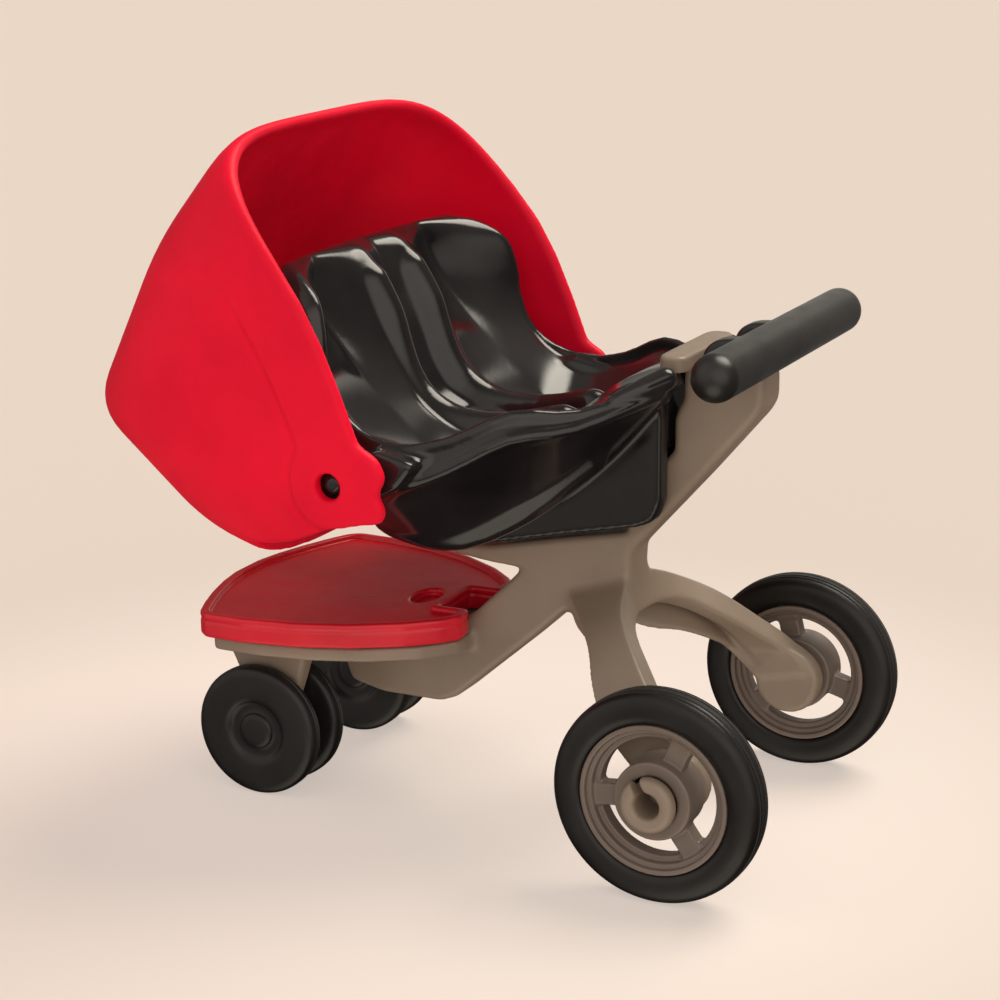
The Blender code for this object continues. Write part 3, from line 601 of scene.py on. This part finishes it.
def seat():
    """The double seat with its keel, its side arms and the pegs that carry the hood."""
    grid = Grid((-48.0, 0.0, 27.5), (-1.8, 28.2, 62.5), 0.305)
    body = soften(body_field(grid, seat_rings(), 10), 0.5, grid.step)
    for path, fillet in seat_tubes():
        body = melt(body, tube(grid, path), fillet)
    body = melt(body, side_slab(grid, KEEL, -KEEL_HALF, KEEL_HALF, 0.25, 0.5), 0.6)
    body = melt(body, side_slab(grid, SEAT_ARM, 21.0, ARM_OUT, 0.5, 0.5), 1.0)
    body = melt(body, barrel(grid, *HOOD_PIVOT, 2.5, 21.5, ARM_OUT, 0.4), 0.8)
    body = melt(body, barrel(grid, *HOOD_PIVOT, PEG_R, 24.0, PEG_OUT, 0.3), 0.3)
    for hole, edge in seat_holes(grid):
        body = carve(body, hole, edge)
    return mesh_from_field("seat", grid, body)


# ---------------------------------------------------------------- tray

TRAY = [(-60.0, 2.5), (-59.4, 6.0), (-58.3, 10.0), (-57.1, 13.4), (-55.9, 16.2), (-54.6, 17.3), (-50.0, 17.2),
        (-44.0, 16.2), (-38.5, 14.2), (-33.5, 11.2), (-30.4, 8.4), (-29.1, 6.4), (-29.4, 3.7), (-33.1, 3.7)]
TRAY_MIDDLE = 19.85
TRAY_HALF = 1.35      # half its thickness
TRAY_LIP = 1.05


def both_sides(points):
    """An (x, y) outline given for y > 0, closed over its mirror image."""
    return points + [(x, -y) for x, y in reversed(points)]


def tray():
    """The tray: a shallow recess inside a lip, a fine line round its side and an oval dimple."""
    grid = Grid((-61.5, 0.0, 17.0), (-27.5, 19.0, 22.5), 0.17)
    edge = soften(outline(grid.x, grid.y, both_sides(TRAY)), 0.4, grid.step)
    body = slab(edge, np.abs(grid.z - TRAY_MIDDLE) - TRAY_HALF, 0.3)
    recess = slab(edge + TRAY_LIP, np.abs(grid.z - 22.2) - 1.5, 0.15)
    body = carve(body, recess, 0.25)
    line = np.maximum(np.abs(edge) - 0.12, np.abs(grid.z - 20.35) - 0.09)
    body = carve(body, line, 0.2)
    oval = np.hypot((grid.x + 36.6) / 1.5, grid.y / 2.6) - 1.0
    body = carve(body, np.maximum(oval * 1.5, 19.9 - grid.z), 0.3)
    return mesh_from_field("tray", grid, body)


# ---------------------------------------------------------------- chassis

SPINE = [(-5.3, 50.4), (-5.3, 46.6), (-6.3, 44.6), (-6.3, 41.0), (-11.4, 35.8), (-11.4, 31.7),
         (-18.0, 30.4), (-27.5, 28.3), (-33.0, 28.0), (-33.4, 27.0), (-27.0, 26.3), (-23.6, 26.2),
         (-26.2, 23.6), (-29.3, 20.6), (-33.0, 18.0), (-46.0, 18.0), (-47.0, 16.0), (-45.0, 10.4),
         (-41.0, 9.5), (-33.8, 9.5), (-31.8, 10.3), (-23.0, 18.0), (-17.6, 23.0), (-11.4, 22.2),
         (-11.2, 26.0), (-11.0, 29.6), (-3.4, 38.2), (2.6, 45.3), (3.3, 46.6), (3.3, 50.0)]
SPINE_HALF = 2.75
CROSSBAR_HALF = 7.4
CROSSBAR = [(-6.4, CROSSBAR_HALF), (-6.4, -CROSSBAR_HALF), (-3.4, -CROSSBAR_HALF), (-3.4, CROSSBAR_HALF)]
CROSSBAR_Z = (50.2, 51.9)
PLATFORM = [(-57.8, 4.0), (-57.0, 9.0), (-56.0, 13.0), (-54.6, 15.6), (-49.0, 15.6), (-43.0, 14.6),
            (-37.5, 12.6), (-32.5, 9.4), (-29.6, 6.0)]
PLATFORM_Z = (16.6, 18.2)
FORK = [(-52.6, 6.4), (-51.6, 5.3), (-49.5, 5.3), (-48.5, 6.4), (-46.2, 13.0), (-44.8, 17.6), (-56.0, 17.6),
        (-54.0, 13.5)]
FORK_Y = (9.65, 11.95)
BOSS_R = 3.65         # where each leg ends at its wheel
STUB_R = 2.3          # the stub out from there, its snap lip, its bore and its slit's direction in degrees
STUB_LIP_R = 2.85
STUB_BORE_R = 1.3
STUB_SLIT = 118.0
LEG = (
    # corners of the leg's section as (x, y, z): front outer, back outer, back inner, front inner
    ((-12.2, -1.0, 27.4), (-19.5, -1.0, 24.4), (-19.5, -1.0, 21.4), (-11.0, -1.0, 22.4)),
    ((-11.2, 3.4, 26.3), (-17.4, 3.8, 24.2), (-17.0, 3.2, 21.3), (-9.8, 3.2, 22.6)),
    ((-9.7, 8.0, 24.4), (-14.4, 8.4, 23.4), (-13.4, 6.8, 20.6), (-8.1, 7.0, 21.9)),
    ((-6.6, 12.0, 21.8), (-11.8, 12.2, 21.7), (-10.6, 9.9, 19.4), (-4.8, 10.4, 19.2)),
    ((-3.0, 15.2, 18.4), (-10.0, 15.3, 18.9), (-8.4, 13.1, 17.0), (-1.8, 13.2, 16.5)),
    ((0.2, 17.2, 15.6), (-7.6, 17.3, 15.4), (-7.0, 15.2, 14.4), (0.4, 15.1, 14.6)),
    ((2.2, 18.0, 12.6), (-3.7, 18.0, 11.4), (-3.7, 15.3, 11.2), (2.2, 15.3, 12.4)),
)
# how far the skirt drops below the web and how deep its groove is, at each of those stations
LEG_SKIRT = ((0.1, -0.05), (1.1, 0.6), (2.5, 1.0), (2.4, 1.0), (1.8, 0.8), (0.5, 0.3), (0.1, 0.1))


def leg_rings():
    """The leg's sections: a web, and behind a groove a thin skirt that drops below the web."""
    rings = []
    for corners, (drop, depth) in zip(LEG, LEG_SKIRT):
        front_out, back_out, back_in, front_in = (Vector(corner) for corner in corners)
        down = (back_in - back_out).normalized()
        across = (front_in - back_in).normalized()
        skirt = back_in + across * 1.15
        web = skirt + across * 0.95
        rings.append([tuple(p) for p in (front_out, back_out, back_in + down * drop, skirt + down * drop,
                                         skirt - down * depth, web - down * depth, web, front_in)])
    return rings


def chassis():
    """The grey moulding: spine, crossbar, tray platform, front forks and the two rear legs."""
    grid = Grid((-60.0, 0.0, 3.6), (5.5, 20.5, 54.0), 0.28)
    body = side_slab(grid, SPINE, -SPINE_HALF, SPINE_HALF, 0.7, 0.5)
    body = melt(body, plan_slab(grid, CROSSBAR, *CROSSBAR_Z, 0.35, 1.0), 0.9)
    body = melt(body, barrel(grid, *HINGE, 1.5, -SPINE_HALF, SPINE_HALF, 0.3), 1.0)
    body = melt(body, plan_slab(grid, both_sides(PLATFORM), *PLATFORM_Z, 0.35, 0.5), 1.0)
    body = melt(body, side_slab(grid, FORK, *FORK_Y, 0.5, 0.5), 1.0)
    body = melt(body, soften(body_field(grid, leg_rings()), 0.2, grid.step), 1.2)
    body = melt(body, barrel(grid, 0.0, REAR_R, BOSS_R, 15.5, 18.1, 0.6), 0.8)
    body = carve(body, barrel(grid, *HINGE, 1.0, -5.0, 5.0, 0.1), 0.2)
    body = carve(body, barrel(grid, FRONT_X, FRONT_R, 1.1, 8.0, 13.0, 0.1), 0.2)
    return mesh_from_field("chassis_frame", grid, body)


def wheel_axes(grid, turn):
    """Distances along and beside a line from the rear axle, turned from +x towards +z by an angle."""
    along = grid.x * math.cos(turn) + (grid.z - REAR_R) * math.sin(turn)
    beside = -grid.x * math.sin(turn) + (grid.z - REAR_R) * math.cos(turn)
    return along, beside


def stub(side):
    """The stub that carries a large wheel: a snap end with a lip, a bore and a slit."""
    grid = Grid((-3.6, 16.6, 7.4), (3.6, 25.2, 14.6), 0.12)
    reach = np.hypot(grid.x, grid.z - REAR_R)
    body = slab(reach - STUB_R, np.abs(grid.y - 20.5) - 3.5, 0.3)
    lip = slab(reach - STUB_LIP_R, np.abs(grid.y - 23.65) - 0.8, 0.7)
    body = melt(body, lip, 0.3)
    body = carve(body, np.maximum(reach - STUB_BORE_R, 20.2 - grid.y), 0.7)
    along, beside = wheel_axes(grid, math.radians(STUB_SLIT))
    slit = np.maximum(np.maximum(np.abs(beside) - 0.5, -along), 21.0 - grid.y)
    body = carve(body, slit, 0.3)
    return mesh_from_field("axle_stub_" + SIDES[side], grid, body, False, side)


# ---------------------------------------------------------------- push bar and wheels

BAR_AXIS = (4.13, 52.8)
BAR_R = 2.4
BAR_HALF = 20.3
LUG_R = 2.3
LUG_Y = (3.2, 5.7)
LUG_ARM = [(0.0, 53.5), (0.4, 49.3), (4.0, 51.0), (4.0, 54.7)]
SPOKES = 3
SPOKE_START = {-1: 66.0, 1: 104.0}    # direction of each rim's first spoke in degrees


def handle():
    """The push bar with round ends, and a lug on each side of the spine."""
    grid = Grid((-3.6, 0.0, 48.0), (7.6, 21.8, 56.4), 0.16)
    reach = np.hypot(grid.x - BAR_AXIS[0], grid.z - BAR_AXIS[1])
    body = slab(reach - BAR_R, grid.y - BAR_HALF, 2.36)
    lug = barrel(grid, *HINGE, LUG_R, *LUG_Y, 0.5)
    lug = melt(lug, side_slab(grid, LUG_ARM, *LUG_Y, 0.5, 0.4), 0.6)
    body = melt(body, lug, 0.6)
    body = carve(body, barrel(grid, *HINGE, 1.0, 2.6, 4.8, 0.1), 0.2)
    return mesh_from_field("push_bar", grid, body)


def rim(side):
    """A large wheel's rim: a stepped ring, a hub and spokes."""
    grid = Grid((-8.4, 18.0, 2.6), (8.4, 23.6, 19.4), 0.13)
    radius = np.hypot(grid.x, grid.z - REAR_R)
    across = np.abs(grid.y - REAR_Y)
    lip = slab(np.abs(radius - 7.52) - 0.28, across - 1.95, 0.15)
    step = slab(np.abs(radius - 7.15) - 0.4, across - 1.35, 0.2)
    web = slab(np.abs(radius - 6.75) - 0.6, np.abs(grid.y - REAR_Y + 0.2) - 0.8, 0.2)
    body = melt(melt(lip, step, 0.15), web, 0.2)
    for i in range(SPOKES):
        along, beside = wheel_axes(grid, math.radians(SPOKE_START[side]) + math.tau * i / SPOKES)
        spoke = slab(np.maximum(np.abs(beside) - 1.15, np.abs(along - 5.4) - 1.9), across - 0.9, 0.25)
        body = melt(body, spoke, 0.5)
    hub = slab(np.abs(radius - 3.35) - 0.72, across - 2.1, 0.25)
    body = melt(body, hub, 0.3)
    return mesh_from_field("rim_" + SIDES[side], grid, body, False, side)


def tyre(side):
    """A large wheel's tyre: soft shoulders, and two fine grooves on each half of its tread."""
    half = [(7.83, 1.55), (7.95, 1.85), (8.3, 2.05), (8.7, 2.12), (9.4, 2.1), (10.0, 2.02), (10.4, 1.85),
            (10.68, 1.6), (10.84, 1.32), (10.9, 1.2), (10.76, 1.12), (10.78, 0.98), (10.95, 0.9),
            (10.99, 0.6), (10.85, 0.52), (10.85, 0.4), (11.0, 0.3)]
    profile = half + [(r, -y) for r, y in reversed(half)]
    return turned("tyre_" + SIDES[side], profile, 0.0, REAR_Y, REAR_R, 128, side)


def disc(side, outer):
    """One disc of a front pair: a dished hub, a flat face and a fine groove round its edge."""
    name = "disc_" + ("outer_" if outer else "inner_") + SIDES[side]
    r = FRONT_R
    face = [(0.0, 0.0), (1.3, 0.0), (1.75, -0.05), (1.95, -0.2), (2.05, -0.42), (2.3, -0.5), (3.0, -0.5),
            (3.25, -0.42), (3.45, -0.12), (3.75, -0.02), (4.2, 0.0), (6.2, 0.0), (6.75, -0.06), (7.0, -0.2),
            (7.2, -0.42), (7.3, -0.7), (r, -0.95), (7.22, -1.05), (7.22, -1.15), (r, -1.25), (7.3, -1.7),
            (7.1, -2.0), (6.8, -2.15), (6.3, -2.2), (1.1, -2.2), (1.1, -0.9), (0.0, -0.9)]
    if outer:
        return turned(name, face, FRONT_X, 14.5, r, 96, side)
    return turned(name, [(radius, -y) for radius, y in face], FRONT_X, 7.1, r, 96, side)


def pin(name, x, low, high, z, radius, side=1):
    """A pin along y from low to high with bevelled ends."""
    edge = 0.2
    profile = [(0.0, low), (radius - edge, low), (radius, low + edge), (radius, high - edge),
               (radius - edge, high), (0.0, high)]
    return turned(name, profile, x, 0.0, z, 32, side)


# ---------------------------------------------------------------- materials

DUST = (0.55, 0.52, 0.48, 1.0)


class Shader:
    """A new material, and short calls for the kinds of node that it is made from."""

    def __init__(self, name):
        self.material = bpy.data.materials.new(name)
        self.material.use_nodes = True
        self.nodes = self.material.node_tree.nodes
        self.links = self.material.node_tree.links
        self.surface = self.nodes["Principled BSDF"].inputs
        self.place = self.nodes.new("ShaderNodeTexCoord").outputs["Object"]

    def noise(self, scale, detail, roughness=0.5):
        """Soft noise fixed to the object."""
        node = self.nodes.new("ShaderNodeTexNoise")
        node.inputs["Scale"].default_value = scale
        node.inputs["Detail"].default_value = detail
        node.inputs["Roughness"].default_value = roughness
        self.links.new(self.place, node.inputs["Vector"])
        return node.outputs["Fac"]

    def ramp(self, source, low, high, start, end, kind="LINEAR"):
        """The source's range from low to high turned into start to end."""
        node = self.nodes.new("ShaderNodeMapRange")
        node.interpolation_type = kind
        for key, value in (("From Min", low), ("From Max", high), ("To Min", start), ("To Max", end)):
            node.inputs[key].default_value = value
        self.links.new(source, node.inputs["Value"])
        return node.outputs["Result"]

    def mix(self, factor, a, b):
        """Colour a turned into b by the factor; each is a plain colour or another node's output."""
        node = self.nodes.new("ShaderNodeMix")
        node.data_type = "RGBA"
        self.links.new(factor, node.inputs["Factor"])
        for socket, value in (("A", a), ("B", b)):
            if isinstance(value, tuple):
                node.inputs[socket].default_value = value
            else:
                self.links.new(value, node.inputs[socket])
        return node.outputs["Result"]

    def math(self, kind, a, b):
        """One arithmetic operation on output a and on b, which is a number or another output."""
        node = self.nodes.new("ShaderNodeMath")
        node.operation = kind
        self.links.new(a, node.inputs[0])
        if isinstance(b, float):
            node.inputs[1].default_value = b
        else:
            self.links.new(b, node.inputs[1])
        return node.outputs["Value"]

    def specks(self, share):
        """Small round dots in the given share of random cells."""
        cells = self.nodes.new("ShaderNodeTexVoronoi")
        cells.inputs["Scale"].default_value = 330.0
        self.links.new(self.place, cells.inputs["Vector"])
        parts = self.nodes.new("ShaderNodeSeparateColor")
        self.links.new(cells.outputs["Color"], parts.inputs["Color"])
        dot = self.ramp(cells.outputs["Distance"], 0.05, 0.085, 1.0, 0.0)
        return self.math("MULTIPLY", dot, self.math("LESS_THAN", parts.outputs["Red"], share))

    def bump(self, height, strength, distance):
        """A bump node over the given heights."""
        node = self.nodes.new("ShaderNodeBump")
        node.inputs["Strength"].default_value = strength
        node.inputs["Distance"].default_value = distance
        self.links.new(height, node.inputs["Height"])
        return node


def plastic(name, colour, rough, grain, mottle, dust, sheen=0.5):
    """Moulded plastic: uneven colour and gloss, fine grain, slight waves and dust specks."""
    shader = Shader(name)
    darker = tuple(c * (1 - mottle * 2) for c in colour) + (1.0,)
    lighter = tuple(min(1.0, c * (1 + mottle) + mottle * 0.02) for c in colour) + (1.0,)
    tint = shader.mix(shader.ramp(shader.noise(90.0, 4.0), 0.35, 0.65, 0.0, 1.0), darker, lighter)
    tint = shader.mix(shader.specks(dust), tint, DUST)
    gloss = shader.ramp(shader.noise(260.0, 5.0, 0.6), 0.3, 0.7, rough * 0.85, min(1.0, rough * 1.2))
    fine = shader.bump(shader.noise(1600.0, 3.0), grain, 0.00003)
    wave = shader.bump(shader.noise(120.0, 2.0), 0.2, 0.00008)
    shader.links.new(fine.outputs["Normal"], wave.inputs["Normal"])
    shader.links.new(wave.outputs["Normal"], shader.surface["Normal"])
    shader.links.new(tint, shader.surface["Base Color"])
    shader.links.new(gloss, shader.surface["Roughness"])
    shader.surface["Specular IOR Level"].default_value = sheen
    return shader.material


# colour, roughness, grain, mottle, share of dusty cells and, where it isn't the usual one, sheen
RED = plastic("red_plastic", (0.86, 0.003, 0.032), 0.45, 0.35, 0.05, 0.002, 0.14)
TRAY_RED = plastic("red_tray_plastic", (0.66, 0.006, 0.024), 0.32, 0.5, 0.06, 0.004, 0.5)
BLACK = plastic("black_gloss_plastic", (0.014, 0.0118, 0.0126), 0.13, 0.2, 0.2, 0.012)
BAR_BLACK = plastic("black_bar_plastic", (0.014, 0.013, 0.0125), 0.34, 0.35, 0.2, 0.012)
GREY = plastic("grey_plastic", (0.27, 0.21, 0.16), 0.38, 0.5, 0.06, 0.004)
# the rims' grey is the chassis's grey plastic made darker: painted shade on the wheels
RIM_GREY_PAINTED_SHADE = plastic("rim_grey_painted_shade", (0.17, 0.132, 0.11), 0.32, 0.5, 0.08, 0.004)
TYRE_BLACK = plastic("tyre_black", (0.009, 0.0075, 0.0075), 0.36, 0.5, 0.2, 0.012, 0.35)
DISC_BLACK = plastic("disc_black", (0.01, 0.009, 0.009), 0.34, 0.45, 0.15, 0.008, 0.35)


# ---------------------------------------------------------------- stage

PAPER = (0.42, 0.36, 0.32, 1.0)
PAPER_GLOW = (1.0, 0.89, 0.81, 1.0)
SKY_LOBES = (
    # direction, outer and inner angle of its soft edge in degrees, colour
    ((0.0, 0.0, 1.0), 180.0, 0.0, (0.22, 0.205, 0.185)),
    ((0.25, 0.45, 0.83), 24.0, 14.0, (8.0, 7.4, 6.4)),
    ((-0.55, -0.75, 0.45), 60.0, 20.0, (0.62, 0.57, 0.52)),
    ((0.65, -0.65, 0.3), 50.0, 15.0, (1.15, 1.06, 0.95)),
    ((-0.1, 1.0, 0.0), 26.0, 12.0, (0.75, 0.7, 0.62)),
    ((0.1, -0.65, -0.75), 34.0, 22.0, (1.3, 1.2, 1.0)),
)
LENS = 89.515
CAMERA_AT = (87.126, -231.938, 104.476)
CAMERA_TURN = (26.2936, 15.5045, -0.4655)   # azimuth, elevation and roll in degrees


def paper():
    """Pale paper that glows a little, most of all round the object."""
    shader = Shader("paper")
    shader.surface["Base Color"].default_value = PAPER
    shader.surface["Roughness"].default_value = 0.9
    shader.surface["Specular IOR Level"].default_value = 0.0
    shader.surface["Emission Color"].default_value = PAPER_GLOW
    reach = shader.nodes.new("ShaderNodeVectorMath")
    reach.operation = "LENGTH"
    shader.links.new(shader.place, reach.inputs[0])
    glow = shader.ramp(reach.outputs["Value"], 0.03, 0.1, 0.5, 0.3, "SMOOTHSTEP")
    shader.links.new(glow, shader.surface["Emission Strength"])
    return shader.material


def stage():
    """A wide floor just under the object."""
    mesh = bpy.data.meshes.new("floor")
    plane = bmesh.new()
    bmesh.ops.create_grid(plane, x_segments=1, y_segments=1, size=20.0)
    plane.to_mesh(mesh)
    plane.free()
    mesh.materials.append(paper())
    floor = link("floor", mesh)
    floor.location.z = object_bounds()[0].z - 0.00002
    floor.visible_glossy = False
    floor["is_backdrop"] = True


def sky():
    """A soft studio around the object: each lobe is a glow about a direction, with a soft edge."""
    world = bpy.data.worlds.new("studio")
    bpy.context.scene.world = world
    world.use_nodes = True
    nodes = world.node_tree.nodes
    links = world.node_tree.links
    place = nodes.new("ShaderNodeTexCoord")
    total = None
    for direction, wide, narrow, colour in SKY_LOBES:
        dot = nodes.new("ShaderNodeVectorMath")
        dot.operation = "DOT_PRODUCT"
        dot.inputs[1].default_value = Vector(direction).normalized()
        links.new(place.outputs["Generated"], dot.inputs[0])
        edge = nodes.new("ShaderNodeMapRange")
        edge.interpolation_type = "SMOOTHSTEP"
        edge.inputs["From Min"].default_value = math.cos(math.radians(wide))
        edge.inputs["From Max"].default_value = math.cos(math.radians(narrow))
        links.new(dot.outputs["Value"], edge.inputs["Value"])
        glow = nodes.new("ShaderNodeVectorMath")
        glow.operation = "SCALE"
        glow.inputs[0].default_value = colour
        links.new(edge.outputs["Result"], glow.inputs["Scale"])
        if total is None:
            total = glow.outputs["Vector"]
            continue
        add = nodes.new("ShaderNodeVectorMath")
        add.operation = "ADD"
        links.new(total, add.inputs[0])
        links.new(glow.outputs["Vector"], add.inputs[1])
        total = add.outputs["Vector"]
    links.new(total, nodes["Background"].inputs["Color"])


def camera():
    """The camera, on the -y side and a little towards the push bar's end."""
    data = bpy.data.cameras.new("camera")
    data.sensor_width = 36.0
    data.lens = LENS
    data.clip_start = 0.01
    data.clip_end = 60.0
    azimuth, elevation, roll_angle = (math.radians(a) for a in CAMERA_TURN)
    back = Vector((math.sin(azimuth) * math.cos(elevation), -math.cos(azimuth) * math.cos(elevation),
                   math.sin(elevation)))
    level = Vector((math.cos(azimuth), math.sin(azimuth), 0.0))
    right = level * math.cos(roll_angle) + back.cross(level) * math.sin(roll_angle)
    obj = link("camera", data)
    obj.rotation_mode = "QUATERNION"
    obj.rotation_quaternion = Matrix((right, back.cross(right), back)).transposed().to_quaternion()
    x, y, z = CAMERA_AT
    obj.location = ((x + AXLE_X) * MM, y * MM, z * MM)
    bpy.context.scene.camera = obj


def main():
    bpy.context.scene.view_settings.view_transform = "Standard"
    fit(hood(), "hood", "red_plastic", RED, "canopy_hood")
    fit(seat(), "base", "black_plastic", BLACK, "seat_shell")
    fit(tray(), "base", "red_plastic", TRAY_RED, "luggage_tray")
    fit(chassis(), "base", "grey_plastic", GREY, "chassis")
    fit(handle(), "handle", "black_plastic", BAR_BLACK, "handle_bar")
    fit(pin("bar_pin", HINGE[0], -4.5, 4.5, HINGE[1], 0.7), "base", "grey_plastic", GREY, "handle_pin")
    for side, word in SIDES.items():
        fit(stub(side), "base", "grey_plastic", GREY)
        fit(rim(side), "rear_wheel_" + word, "grey_plastic", RIM_GREY_PAINTED_SHADE, "rear_rim_" + word)
        fit(tyre(side), "rear_wheel_" + word, "black_tyre", TYRE_BLACK, "rear_tyre_" + word)
        for outer in (True, False):
            node = "front_disc_" + ("outer_" if outer else "inner_") + word
            fit(disc(side, outer), "front_wheels_" + word, "black_wheel", DISC_BLACK, node)
        axle = pin("front_pin_" + word, FRONT_X, 8.3, 13.3, FRONT_R, 0.8, side)
        fit(axle, "front_wheels_" + word, "grey_plastic", GREY, "front_axle_" + word)
    stage()
    sky()
    camera()


main()
